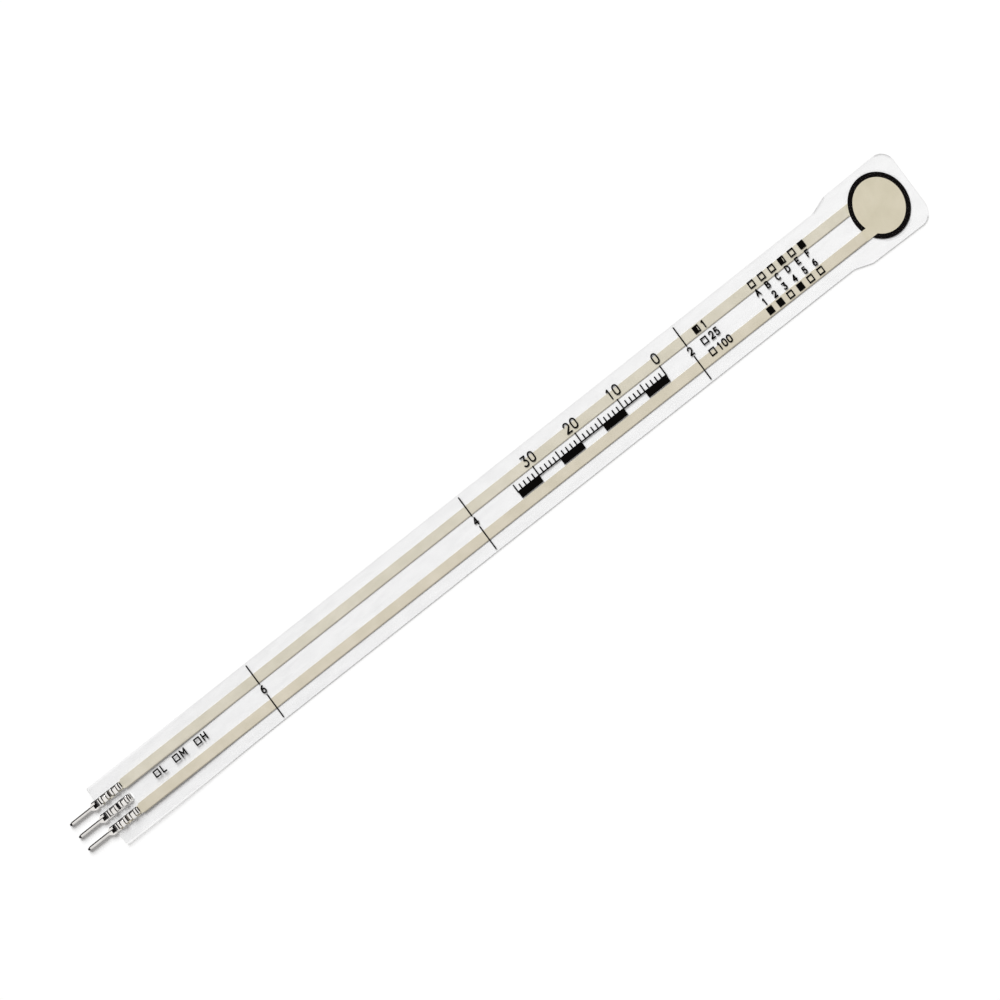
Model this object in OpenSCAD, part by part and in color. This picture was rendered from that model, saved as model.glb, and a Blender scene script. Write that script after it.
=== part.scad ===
// Flexible force sensor: a thin clear strip with a round sensing area in its head, two printed silver
// leads and three crimped pins. The origin is under the centre of the sensing area, on the bench that
// the strip lies on. +X runs along the strip towards the pins and +Z is up, on the printed side. All
// sizes are in millimetres.

/* [Film] */
// Length of the film, from the head's tip to the pin end
film_l = 190.5; // [182:0.5:260]
// Width of the tail
tail_w = 11.4; // [10.4:0.1:13.4]
// Width of the head
head_w = 14; // [13:0.1:20]
// Length of the head at its full width
head_l = 14.2; // [13:0.1:18]
// Length over which the head narrows to the tail
shoulder_l = 3.5; // [2.5:0.1:4.5]
// Distance that each side of the head draws in on its way to the shoulder
head_taper = 0.2; // [0:0.05:0.4]
// Radius of the two corners at the tip
tip_r = 2.7; // [0.5:0.1:5]
// Radius of the bends at each end of a shoulder
shoulder_r = 3; // [0.5:0.1:5]
// Radius of the two corners at the pin end
end_r = 0.5; // [0.1:0.1:2]
// Thickness of each clear film
film_t = 0.076; // [0.05:0.001:0.19]
// Length over which the film rises onto the contacts
rise_l = 30; // [15:0.5:40]
// Height at which the strip's own curl holds the head above the bench
head_lift = 0.02; // [0.005:0.005:0.1]
// Length over which the strip bends up to the head, from the shoulder on
curl_l = 8; // [6:0.5:12]

/* [Sensing area] */
// Distance from the tip to the centre of the sensing area
sense_in = 7; // [6.5:0.1:8]
// Diameter of the silver disks
disk_d = 9.53; // [8:0.01:10.5]
// Width of the ink ring that shows round a disk
ink_rim = 0.87; // [0.3:0.01:1]
// Clearance between the ink and the adhesive round it
well_gap = 0.25; // [0.1:0.01:0.4]
// Thickness of the silver
silver_t = 0.0125; // [0.008:0.0005:0.03]
// Thickness of the pressure-sensitive ink
ink_t = 0.013; // [0.008:0.0005:0.03]

/* [Leads] */
// Width of each lead
lead_w = 1.85; // [1:0.05:2.2]
// Distance that a lead's full width stops short of its contact
lead_stop = 0.1; // [0.05:0.01:1]
// Distance between the end of a lead's pad and the pin end
pad_margin = 0.92; // [0.85:0.01:1]

/* [Contacts] */
// Distance between two neighbouring contacts
pitch = 2.54; // [2.4:0.01:3]
// Thickness of the contact's sheet metal
sheet_t = 0.25; // [0.15:0.01:0.3]
// Height of the ridges that bite into the film from below
grip_h = 0.05; // [0.02:0.01:0.2]
// Length of each ridge along the strip
grip_l = 0.4; // [0.2:0.05:0.8]
// Width of the crimped stretch
crimp_w = 1.5; // [1.3:0.05:1.8]
// Width of the two outer claws in a group
side_claw_w = 0.38; // [0.25:0.01:0.45]
// Width of the middle claw in a group
mid_claw_w = 0.72; // [0.5:0.01:0.9]
// Slit between two neighbouring claws
claw_gap = 0.2; // [0.1:0.01:0.22]
// Distance between the two groups of claws
group_gap = 0.6; // [0.4:0.01:0.9]
// Distance that a claw's tip stays from the far side
claw_short = 0.2; // [0.1:0.01:0.3]
// Room between the film and the roof of a claw
claw_air = 0.12; // [0.05:0.01:0.3]
// Inner radius of a claw's bends
claw_r = 0.15; // [0.05:0.01:0.2]
// Clearance between a claw and the slit that it cuts
slot_gap = 0.02; // [0.01:0.005:0.04]
// Thickness of the two locating bars
bar_t = 0.2; // [0.1:0.01:0.25]
// Width of the locating bars
bar_w = 1.1; // [0.8:0.05:1.3]
// Height of a locating bar above the film
bar_h = 0.35; // [0.1:0.01:0.35]
// Distance from the pin end to the first bar
bar_in = 0.6; // [0.4:0.01:0.7]
// Distance between a bar and the claws next to it
bar_gap = 0.25; // [0.15:0.01:0.4]
// Length of the base beyond the inner bar
base_lip = 0.25; // [0.1:0.01:0.5]
// Clearance between the pin end of the film and the walls
end_gap = 0.04; // [0.02:0.01:0.1]
// Length of the open trough in front of the film
trough_l = 0.7; // [0.4:0.01:1]
// Width of the folded lip that covers one side of the trough
lip_w = 0.4; // [0.2:0.01:0.6]
// Opening between that lip and the film
lip_gap = 0.2; // [0.1:0.01:0.35]
// Length over which the contact narrows to its pin
flare_l = 0.75; // [0.4:0.01:1.2]
// Distance that a pin reaches beyond the film
pin_out = 6.5; // [4:0.1:10]
// Side of the square pin
pin_s = 0.64; // [0.6:0.01:0.8]
// Chamfer along the pin's edges
pin_chamfer = 0.06; // [0.02:0.01:0.1]
// Width of the seam along the pin's top
seam_w = 0.12; // [0.04:0.01:0.2]
// Distance of the seam from the pin's middle
seam_off = 0.16; // [0:0.01:0.2]
// Depth of that seam
seam_d = 0.2; // [0.05:0.01:0.3]
// Length of the pin's tapered tip
tip_taper = 0.8; // [0.3:0.05:1.5]
// Side of the pin at its very end
tip_s = 0.34; // [0.25:0.01:0.5]

/* [Print] */
// Thickness of the black print
print_t = 0.012; // [0.008:0.001:0.03]
// Distance between two cut marks, and from the tip to the first
mark_step = 50.8; // [48:0.1:52]
// Width of a printed line
line_w = 0.25; // [0.1:0.01:0.3]
// Distance from a cut mark's ends to the edge of the film
mark_inset = 0.4; // [0.1:0.01:0.8]
// Height of the gap that a cut mark leaves for its number
number_window = 2; // [1.5:0.1:2.5]
// Distance of the numbers from the strip's centre line
number_off = 0.4; // [0.1:0.1:1]
// Side of a printed box
box_s = 1.3; // [1:0.05:1.5]
// Share of a box that a half-hearted mark fills
part_fill = 0.82; // [0.5:0.01:0.9]
// Distance from the tip to the first column of batch boxes
batch_in = 22.7; // [20:0.1:24]
// Distance between two columns of batch boxes
batch_step = 2.34; // [1.8:0.01:2.6]
// Distance of the two rows' middle from the strip's centre line
batch_mid = 0.2; // [0:0.05:0.5]
// Distance of each row of batch boxes from that middle
batch_off = 2.66; // [2.3:0.01:3.2]
// Distance from the tip to the range boxes
range_in = 47.5; // [45:0.1:48]
// Distance between two range boxes
range_step = 2.28; // [1.8:0.01:2.8]
// Distance of the middle range box from the centre line
range_off = 0.38; // [0:0.01:0.8]
// Places of the three grade boxes, measured from the pin end
grade_in = [12.7, 17.3, 22.4]; // [9:0.1:24]
// Distance of the grade boxes from the centre line
grade_off = 0.4; // [0:0.1:1]
// Distance from the tip to the near end of the length scale
scale_in = 57; // [53:0.1:58]
// Number of long divisions on the length scale
scale_n = 7; // [4:1:7]
// Length of a long division
scale_step = 5; // [3:0.5:5]
// Length of a short tick on the scale
tick_h = 0.9; // [0.5:0.1:1.2]
// Height of the filled bars of the scale
bar_fill_h = 1.1; // [0.6:0.1:1.4]
// Distance of the scale's base line from the centre line
scale_off = 0.3; // [0:0.1:0.6]

/* [Hidden] */
$fn = 72;

clear_grey = [0.93, 0.94, 0.95, 0.55];
glue_grey = [0.95, 0.95, 0.93, 0.5];
silver_beige = [0.83, 0.80, 0.71];
black_ink = [0.06, 0.06, 0.06];
tin_bright = [0.80, 0.80, 0.82];

// Room for a cutter to run past what it cuts
past = 1;
// Number of straight stretches that the film's rise is made of
rise_n = 16;
// Number of straight stretches in a shoulder's bend
bend_n = 5;

// The layers from the bench up: film, silver, ink, ink, silver, film
adhesive_t = 2 * (silver_t + ink_t);
z_glue = film_t;
z_mid = film_t + adhesive_t / 2;
z_top_film = film_t + adhesive_t;
z_face = z_top_film + film_t;

// Ends of the film along X
tip_x = -sense_in;
end_x = tip_x + film_l;
shoulder_x0 = tip_x + head_l;
shoulder_x1 = shoulder_x0 + shoulder_l;
taper_slope = atan2(head_taper, head_l);
shoulder_slope = atan2((head_w - tail_w) / 2 - head_taper, shoulder_l);
head_reach = shoulder_r * tan((shoulder_slope - taper_slope) / 2);
tail_reach = shoulder_r * tan(shoulder_slope / 2);
curl_x = shoulder_x0 + curl_l;

// The round stack in the head
ink_d = disk_d + 2 * ink_rim;
well_d = ink_d + 2 * well_gap;

// One contact, measured inwards from the film's pin end
group_l = 2 * side_claw_w + mid_claw_w + 2 * claw_gap;
first_claw = bar_in + bar_t + bar_gap;
last_claw = first_claw + 2 * group_l + group_gap;
inner_bar = last_claw + bar_gap;
base_in = inner_bar + bar_t + base_lip;
bars = [bar_in, inner_bar];
group_starts = [first_claw, first_claw + group_l + group_gap];
// Every claw as its place, its width and the side that it rises on
claws = [for (start = group_starts) each [
    [start, side_claw_w, -1],
    [start + side_claw_w + claw_gap, mid_claw_w, 1],
    [start + side_claw_w + mid_claw_w + 2 * claw_gap, side_claw_w, -1]]];

// Heights in the crimp, where the film lies on the ridges
lift = sheet_t + grip_h;
z_crimp_face = lift + z_face;
claw_top = z_crimp_face + claw_air + sheet_t;
bar_top = z_crimp_face + bar_h;

// The leads end at their contacts
lead_end = end_x - base_in - lead_stop;
rise_x1 = lead_end - lead_stop;
rise_x0 = rise_x1 - rise_l;

function head_curl(x) = head_lift * min(1, max(0, (curl_x - x) / curl_l));
function pin_rise(x) = lift * (1 - cos(180 * min(1, max(0, (x - rise_x0) / rise_l)))) / 2;
function underside(x) = head_curl(x) + pin_rise(x);
rise_xs = [for (i = [0 : rise_n]) rise_x0 + i * rise_l / rise_n];
stations = concat([tip_x - past, shoulder_x0, curl_x], rise_xs, [end_x + past]);
function along(p, angle, distance) = p + distance * [cos(angle), sin(angle)];
function arc(c, r, from, to) = [for (i = [0 : bend_n]) along(c, from + (to - from) * i / bend_n, r)];

// A sheet from height z0 to z1 in the stack, which follows the strip's bends. Its children give the outline.
module sheet(z0, z1) {
    lower = [for (x = stations) [x, underside(x) + z0]];
    upper = [for (x = stations) [x, underside(x) + z1]];
    intersection() {
        rotate([90, 0, 0])
            linear_extrude(2 * head_w, center = true)
                polygon(concat(lower, [for (i = [len(upper) - 1 : -1 : 0]) upper[i]]));
        translate([0, 0, z0 - past])
            linear_extrude(lift + z1 - z0 + 2 * past)
                children();
    }
}

// What lies between a corner p and the arc that rounds it. The edges leave the corner at angles a and b.
module corner_cut(p, a, b, r) {
    half = abs(b - a) / 2;
    centre = along(p, (a + b) / 2, r / sin(half));
    difference() {
        polygon([p, along(p, a, r / tan(half)), centre, along(p, b, r / tan(half))]);
        translate(centre) circle(r);
    }
}

// The strip seen from above, with an S-bend of two arcs in each shoulder
module film_outline() {
    // Where the head's side ends and its bend starts, and the middles of the two bends
    side_end = along([shoulder_x0, head_w / 2 - head_taper], 180 - taper_slope, head_reach);
    top_bend = along(side_end, -90 - taper_slope, shoulder_r);
    foot_bend = [shoulder_x1 + tail_reach, tail_w / 2 + shoulder_r];
    half = concat([[tip_x, head_w / 2]], arc(top_bend, shoulder_r, 90 - taper_slope, 90 - shoulder_slope),
        arc(foot_bend, shoulder_r, 270 - shoulder_slope, 270), [[end_x, tail_w / 2]]);
    difference() {
        polygon(concat(half, [for (i = [len(half) - 1 : -1 : 0]) [half[i][0], -half[i][1]]]));
        for (side = [0, 1]) mirror([0, side]) {
            corner_cut([tip_x, head_w / 2], -taper_slope, -90, tip_r);
            corner_cut([end_x, tail_w / 2], 180, 270, end_r);
        }
    }
}

// A silver disk with its lead and the pad under the contact, on one side of the centre line
module electrode_outline(side) {
    circle(d = disk_d);
    translate([0, side * pitch - lead_w / 2]) square([lead_end, lead_w]);
    translate([lead_end, side * pitch - crimp_w / 2]) square([end_x - pad_margin - lead_end, crimp_w]);
}

// Children drawn at one contact's place, with X running inwards from the film's pin end
module at_contact(place) {
    translate([end_x, place * pitch, 0]) mirror([1, 0, 0]) children();
}

// The slits that the claws and bars of one contact cut
module slits() {
    module slit(x, y, l, w) {
        translate([x - slot_gap, y - slot_gap, sheet_t / 2])
            cube([l + 2 * slot_gap, w + 2 * slot_gap, claw_top]);
    }
    for (claw = claws)
        slit(claw[0], claw[2] > 0 ? crimp_w / 2 - sheet_t : -crimp_w / 2, claw[1], sheet_t);
    for (x = bars)
        slit(x, -bar_w / 2, bar_t, bar_w);
}

module bottom_film() {
    color(clear_grey) difference() {
        sheet(0, film_t) film_outline();
        for (place = [-1 : 1]) at_contact(place) slits();
    }
}

module top_film() {
    color(clear_grey) difference() {
        sheet(z_top_film, z_face) film_outline();
        for (place = [-1 : 1]) at_contact(place) slits();
    }
}

// The lower electrode's lead is on the left when the head is away from you
module lower_silver(z1) {
    difference() {
        sheet(z_glue, z1) electrode_outline(-1);
        at_contact(-1) slits();
    }
}

module upper_silver(z0) {
    difference() {
        sheet(z0, z_top_film) electrode_outline(1);
        at_contact(1) slits();
    }
}

module lower_electrode() {
    color(silver_beige) lower_silver(z_glue + silver_t);
}

module upper_electrode() {
    color(silver_beige) upper_silver(z_top_film - silver_t);
}

// The ink covers its disk and reaches the film all round it
module lower_ink_dot() {
    color(black_ink) translate([0, 0, head_lift]) difference() {
        translate([0, 0, z_glue]) cylinder(h = silver_t + ink_t, d = ink_d);
        translate([0, 0, -past]) linear_extrude(past + z_glue + silver_t) electrode_outline(-1);
    }
}

module upper_ink_dot() {
    color(black_ink) translate([0, 0, head_lift]) difference() {
        translate([0, 0, z_mid]) cylinder(h = silver_t + ink_t, d = ink_d);
        translate([0, 0, z_mid + ink_t]) linear_extrude(past) electrode_outline(1);
    }
}

// The adhesive fills the space between the films, round the silver and round the well in the head
module adhesive_layer() {
    color(glue_grey) difference() {
        sheet(z_glue, z_top_film) film_outline();
        cylinder(h = past, d = well_d);
        sheet(z_glue - film_t / 2, z_glue + silver_t) electrode_outline(-1);
        sheet(z_top_film - silver_t, z_top_film + film_t / 2) electrode_outline(1);
        for (place = [-1 : 1]) at_contact(place) slits();
    }
}

// A claw seen along the strip: it rises at the left, bends over the film and comes down on it
module claw_section() {
    span = crimp_w - claw_short;
    module arch(inset) {
        r = claw_r + sheet_t - inset;
        top = claw_top - inset;
        translate([inset - crimp_w / 2, 0]) {
            square([span - 2 * inset, top - r]);
            translate([r, 0]) square([span - 2 * (inset + r), top]);
            for (x = [r, span - 2 * inset - r]) translate([x, top - r]) circle(r);
        }
    }
    difference() {
        arch(0);
        arch(sheet_t);
        translate([-crimp_w / 2 + span - sheet_t - claw_r, -past])
            square([sheet_t + claw_r + past, past + z_crimp_face]);
    }
}

// A section in Y and Z, drawn out along X
module along_x(l) {
    rotate([90, 0, 90]) linear_extrude(l) children();
}

// Plate under the film, with its ridges, claws and bars
module crimp() {
    base_half = crimp_w / 2;
    linear_extrude(sheet_t)
        polygon([[-trough_l, -base_half], [base_in - base_lip, -base_half], [base_in, -base_half + base_lip],
            [base_in, base_half - base_lip], [base_in - base_lip, base_half], [-trough_l, base_half]]);
    for (start = group_starts)
        translate([start + (group_l - grip_l) / 2, sheet_t - base_half, 0])
            cube([grip_l, crimp_w - 2 * sheet_t, lift]);
    for (claw = claws)
        translate([claw[0], 0, 0]) mirror([0, claw[2] > 0 ? 1 : 0, 0]) along_x(claw[1]) claw_section();
    for (x = bars)
        translate([x, -bar_w / 2, 0]) cube([bar_t, bar_w, bar_top]);
}

// Walls that stand in front of the film and close in to the pin
module neck() {
    wall_half = crimp_w / 2;
    difference() {
        linear_extrude(pin_s)
            polygon([[-end_gap, -wall_half], [-trough_l, -wall_half], [-trough_l - flare_l, -pin_s / 2],
                [-trough_l - flare_l, pin_s / 2], [-trough_l, wall_half], [-end_gap, wall_half]]);
        translate([-trough_l, sheet_t - wall_half + lip_w, sheet_t])
            cube([trough_l + past, crimp_w - 2 * sheet_t - lip_w, pin_s]);
        translate([-lip_gap, sheet_t - wall_half, sheet_t])
            cube([lip_gap + past, crimp_w - 2 * sheet_t, pin_s]);
        translate([-trough_l - flare_l - past, -seam_off - seam_w / 2, pin_s - seam_d])
            cube([flare_l + 2 * past, seam_w, pin_s]);
    }
}

// The folded square pin, with its seam on top and its tapered tip
module pin() {
    half = pin_s / 2;
    root = trough_l + flare_l;
    taper_x = tip_taper - pin_out;
    // Half of the pin's outline in a view from above or from the side
    tip_half = [[-root, half], [taper_x, half], [-pin_out, tip_s / 2]];
    outline = concat(tip_half, [for (i = [2 : -1 : 0]) [tip_half[i][0], -tip_half[i][1]]]);
    intersection() {
        translate([-pin_out, 0, 0]) along_x(pin_out - root) difference() {
            polygon([[-half + pin_chamfer, 0], [half - pin_chamfer, 0], [half, pin_chamfer],
                [half, pin_s - pin_chamfer], [half - pin_chamfer, pin_s], [-half + pin_chamfer, pin_s],
                [-half, pin_s - pin_chamfer], [-half, pin_chamfer]]);
            translate([-seam_off - seam_w / 2, pin_s - seam_d]) square([seam_w, pin_s]);
        }
        linear_extrude(pin_s) polygon(outline);
        translate([0, 0, half]) rotate([90, 0, 0]) linear_extrude(pin_s, center = true) polygon(outline);
    }
}

module contact(place) {
    color(tin_bright) at_contact(place) {
        crimp();
        neck();
        pin();
    }
}

module contact_left() {
    contact(-1);
}

module contact_centre() {
    contact(0);
}

module contact_right() {
    contact(1);
}

// Black print on the top film, in the outline of its children
module printed() {
    color(black_ink) sheet(z_face, z_face + print_t) children();
}

// A printed box, with the share of it that is filled in from its pin side
module box_outline(fill) {
    difference() {
        square(box_s, center = true);
        if (fill < 1)
            translate([-box_s / 2 + line_w, -box_s / 2 + line_w])
                square([(box_s - 2 * line_w) * (1 - fill), box_s - 2 * line_w]);
    }
}

// A cut mark, in two lines with room for its number between them
module cut_mark(count) {
    number_y = -number_off;
    edge = tail_w / 2 - mark_inset;
    far = number_y + number_window / 2;
    near = number_y - number_window / 2;
    printed() translate([tip_x + count * mark_step - line_w / 2, 0]) {
        translate([0, -edge]) square([line_w, near + edge]);
        translate([0, far]) square([line_w, edge - far]);
    }
}

module cut_mark_2() {
    cut_mark(1);
}

module cut_mark_4() {
    cut_mark(2);
}

module cut_mark_6() {
    cut_mark(3);
}

// A row of batch boxes, with one fill for each box from the head on
module batch_boxes(side, fills) {
    printed() for (i = [0 : len(fills) - 1])
        translate([tip_x + batch_in + i * batch_step, side * batch_off - batch_mid])
            box_outline(fills[i]);
}

module batch_boxes_upper() {
    batch_boxes(-1, [1, 0, part_fill, 0, 0, 0]);
}

module batch_boxes_lower() {
    batch_boxes(1, [0, 0, 1, 0, 1, 1]);
}

module range_boxes() {
    fills = [part_fill, 0, 0];
    printed() for (i = [0 : 2])
        translate([tip_x + range_in, (i - 1) * range_step - range_off]) box_outline(fills[i]);
}

module grade_boxes() {
    printed() for (x = grade_in)
        translate([end_x - x, -grade_off]) box_outline(0);
}

// A plain scale of length: a base line, ticks on one side and filled bars on the other
module length_scale() {
    length = scale_n * scale_step;
    ticks = 5 * scale_n;
    // Every second long division's tick is the longest
    function tick(i) = i % 10 == 0 ? 2 * tick_h : i % 5 == 0 ? 1.5 * tick_h : tick_h;
    // The base line stands over the ticks and the bars, which all start inside it
    printed() translate([tip_x + scale_in, scale_off - line_w]) {
        translate([-line_w / 2, 0]) square([length + line_w, line_w]);
        for (i = [0 : ticks])
            translate([i * length / ticks - line_w / 2, -tick(i)]) square([line_w, tick(i) + line_w]);
        for (i = [0 : 2 : scale_n - 1])
            translate([i * scale_step, 0]) square([scale_step, bar_fill_h + line_w]);
    }
}

bottom_film();
lower_electrode();
lower_ink_dot();
adhesive_layer();
upper_ink_dot();
upper_electrode();
top_film();
contact_left();
contact_centre();
contact_right();
cut_mark_2();
cut_mark_4();
cut_mark_6();
batch_boxes_upper();
batch_boxes_lower();
range_boxes();
grade_boxes();
length_scale();
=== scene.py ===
"""Dresses the flexible force sensor: films, silver leads, pressure ink, black print and contacts.

The CAD nodes keep their places and shapes. This script gives them finishes, prints the letters and
numbers on the top film, and sets up a plain studio with the camera at the photograph's angle.
"""

import math
import bmesh
import bpy
from bpy.props import (
    FloatProperty,
    FloatVectorProperty,
    IntProperty,
    PointerProperty,
    StringProperty,
)
from mathutils import Matrix, Vector
from mathutils.bvhtree import BVHTree
from mathutils.geometry import delaunay_2d_cdt


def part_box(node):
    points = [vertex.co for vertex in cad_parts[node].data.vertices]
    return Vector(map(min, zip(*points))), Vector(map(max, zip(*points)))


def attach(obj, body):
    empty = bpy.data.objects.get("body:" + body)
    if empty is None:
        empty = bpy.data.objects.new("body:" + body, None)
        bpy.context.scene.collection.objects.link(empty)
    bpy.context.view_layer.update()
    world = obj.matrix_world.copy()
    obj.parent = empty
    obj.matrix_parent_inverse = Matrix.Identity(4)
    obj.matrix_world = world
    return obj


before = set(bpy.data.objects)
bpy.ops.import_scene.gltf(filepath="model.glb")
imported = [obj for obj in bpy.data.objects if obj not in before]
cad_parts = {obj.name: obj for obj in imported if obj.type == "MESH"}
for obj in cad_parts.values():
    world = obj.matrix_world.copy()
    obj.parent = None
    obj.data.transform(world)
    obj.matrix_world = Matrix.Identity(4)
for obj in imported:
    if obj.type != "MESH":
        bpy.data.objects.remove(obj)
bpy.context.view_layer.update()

bl_info = {
    "name": "Flexible force sensor",
    "version": (1, 0, 0),
    "blender": (4, 5, 0),
    "location": "View3D > Sidebar > Sensor",
    "description": "Finishes, printed characters and a plain studio for a thin-film force sensor",
    "category": "Object",
}

MM = 0.001
# Distance under which two corners of a CAD mesh are one
WELD = 1e-7

FILMS = ("bottom_film", "top_film")
INKS = ("lower_ink_dot", "upper_ink_dot")
CONTACTS = ("contact_left", "contact_centre", "contact_right")
PRINTS = (
    "cut_mark_2",
    "cut_mark_4",
    "cut_mark_6",
    "batch_boxes_upper",
    "batch_boxes_lower",
    "range_boxes",
    "grade_boxes",
    "length_scale",
)
CUT_NUMBERS = ("2", "4", "6")
RANGE_NUMBERS = ("1", "25", "100")
GRADE_LETTERS = ("H", "M", "L")

# A ray crosses six clear faces on its way down and six on its way back, and more at the edges
CLEAR_FACES = 32

# Detail and roughness of each noise, and the ranges of two that are spread from 0 to 1
FINE_NOISE = (2.0, 0.6)
BROAD_NOISE = (3.0, 0.55)
LINE_NOISE = (3.0, 0.7)
WAVE_NOISE = (1.0, 0.5)
GRAIN_RANGE = (0.36, 0.64)
LINE_RANGE = (0.4, 0.68)

NUMBER = "NodeSocketFloat"
COLOUR = "NodeSocketColor"
WHITE = (1.0, 1.0, 1.0, 1.0)
BLACK = (0.0, 0.0, 0.0, 1.0)


# Properties


def number(name, description, value):
    return FloatProperty(name=name, description=description, default=value)


def share(name, description, value):
    return FloatProperty(
        name=name, description=description, subtype="FACTOR", min=0, max=1, default=value
    )


def colour(name, description, value):
    return FloatVectorProperty(
        name=name, description=description, subtype="COLOR", size=3, min=0, max=1, default=value
    )


def length(name, description, millimetres):
    return FloatProperty(
        name=name, description=description, unit="LENGTH", precision=5, default=millimetres * MM
    )


def angle(name, description, degrees):
    return FloatProperty(
        name=name,
        description=description,
        subtype="ANGLE",
        unit="ROTATION",
        default=math.radians(degrees),
    )


class FilmFinish(bpy.types.PropertyGroup):
    """Clear polyester films and the adhesive between them"""

    tint: colour("Tint", "Colour of the film's own haze", (0.1, 0.1, 0.12))
    # Painted shade: the cut edges take this dark colour. On the shadow side and at the pins they
    # are nearly opaque, which draws their shade line and also casts a real shadow
    edge_tint: colour("Cut edge", "Colour of the film's cut edges", (0.12, 0.12, 0.13))
    haze: share("Haze", "Opacity of one face of a film at the head", 0.0115)
    haze_rise: number("Haze rise", "How many times as hazy it is at the pins", 1.6)
    glue_haze: share("Adhesive haze", "Opacity of one face of the adhesive", 0.0115)
    edge_haze: share("Edge haze", "Opacity of a cut edge", 0.15)
    slant_haze: share("Slanting edge haze", "Opacity of a cut edge at corners and shoulders", 0.5)
    far_edge_haze: share("Far edge haze", "Opacity of a cut edge on the shadow side", 0.75)
    pin_edge_haze: share("Pin edge haze", "Opacity of that edge at the pins", 1.0)
    pin_rise: length("Rise", "Length over which the film rises to the contacts", 38)
    dust_scale: number("Dust scale", "How many dust marks lie in a metre", 900)
    dust_width: share("Dust width", "Width of a dust mark as a share of its length", 0.25)
    least_dust: number("Least dust", "Factor on the haze between the dust marks", 0.85)
    most_dust: number("Most dust", "Factor on the haze in the dust marks", 1.25)
    roughness: share("Roughness", "Roughness of the film's face", 0.16)
    refraction: number("Refraction", "Index of refraction", 1.6)
    wave: length("Wave", "Length of the film's slight waves", 14)
    wave_height: length("Wave height", "Height of those waves", 0.4)
    clearance: length("Clearance", "Air kept between a film and what touches it", 0.004)


class SilverFinish(bpy.types.PropertyGroup):
    """Printed silver of the disks and leads"""

    light: colour("Light", "Colour of the thin places in the silver", (0.8, 0.745, 0.63))
    dark: colour("Dark", "Colour of the dense places in the silver", (0.71, 0.66, 0.54))
    lower_tone: colour("Lower tone", "Factor on the lower electrode's colour", (0.97, 0.98, 0.97))
    upper_tone: colour("Upper tone", "Factor on the upper electrode's colour", (0.91, 0.9, 0.87))
    disk_tone: colour("Disk tone", "Factor on the sensing area's colour", (0.972, 0.972, 0.928))
    # Painted shadow: a dark line along each lead's far edge, where its shadow falls
    edge_line: length("Edge line", "Width of the dark line along a lead's far edge", 0.14)
    edge_line_tint: colour("Edge line tint", "Colour of that line", (0.2, 0.17, 0.12))
    edge_share: share("Edge share", "Strength of that line", 0.6)
    # Painted shade of the claws on the silver under and beside them
    pad_reach: length("Pad reach", "Distance from a contact's end to its dark pad", 0.45)
    pad_tint: colour("Pad tint", "Colour of the silver in the claws' shade", (0.06, 0.053, 0.048))
    grain: length("Grain", "Size of the silver's grain", 0.08)
    patch: length("Patch", "Size of its faint patches", 4)
    patch_share: share("Patch share", "How much the patches count against the grain", 0.65)
    roughness: share("Roughness", "Roughness of the silver", 0.55)
    gloss: share("Gloss", "Specular level of the silver", 0.2)
    relief: length("Relief", "Height of the grain", 0.006)
    relief_share: share("Relief share", "Strength of that relief", 0.5)


class InkFinish(bpy.types.PropertyGroup):
    """Pressure-sensitive ink and black print"""

    black: colour("Black", "Colour of the pressure-sensitive ink", (0.0004, 0.0002, 0.0001))
    fleck: colour("Fleck", "Colour of the carbon flecks in it", (0.003, 0.002, 0.0015))
    print_black: colour("Print", "Colour of the black print", (0.0003, 0.0002, 0.0002))
    print_thin: colour("Thin print", "Colour of the print where it is thin", (0.003, 0.0025, 0.002))
    grain: length("Grain", "Size of the ink's grain", 0.12)
    patch_scale: share("Patch scale", "Size of the grain as a share of a patch's size", 0.35)
    patch_share: share("Patch share", "How much the patches count against the grain", 0.3)
    roughness: share("Roughness", "Roughness of the ink", 0.6)
    gloss: share("Gloss", "Specular level of the ink", 0.02)
    relief: length("Relief", "Height of the grain", 0.004)
    relief_share: share("Relief share", "Strength of that relief", 0.5)


class CrimpShade(bpy.types.PropertyGroup):
    """Shade round the contacts' claws, on tin and silver alike"""

    pitch: length("Pitch", "Distance between two contacts", 2.54)
    middle: length("Middle", "From a contact's end to the middle between its sets of claws", 2.855)
    set_off: length("Set offset", "From that middle to the middle of a set of claws", 1.265)
    set_half: length("Set half", "Half the length over which a set's claws have slits", 0.75)
    slit_end: length("Slit end", "Place across a contact where those slits are lit again", 0.12)
    side: length("Side", "Place across a contact where the rest is lit again", 0.45)
    lit_place: length("Lit place", "From a contact's end to a place that is a little lit", 2.99)
    lit_half: length("Lit half", "Half the length of that place", 0.09)
    lit_share: share("Lit share", "How much of its light that place keeps", 0.2)


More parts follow.
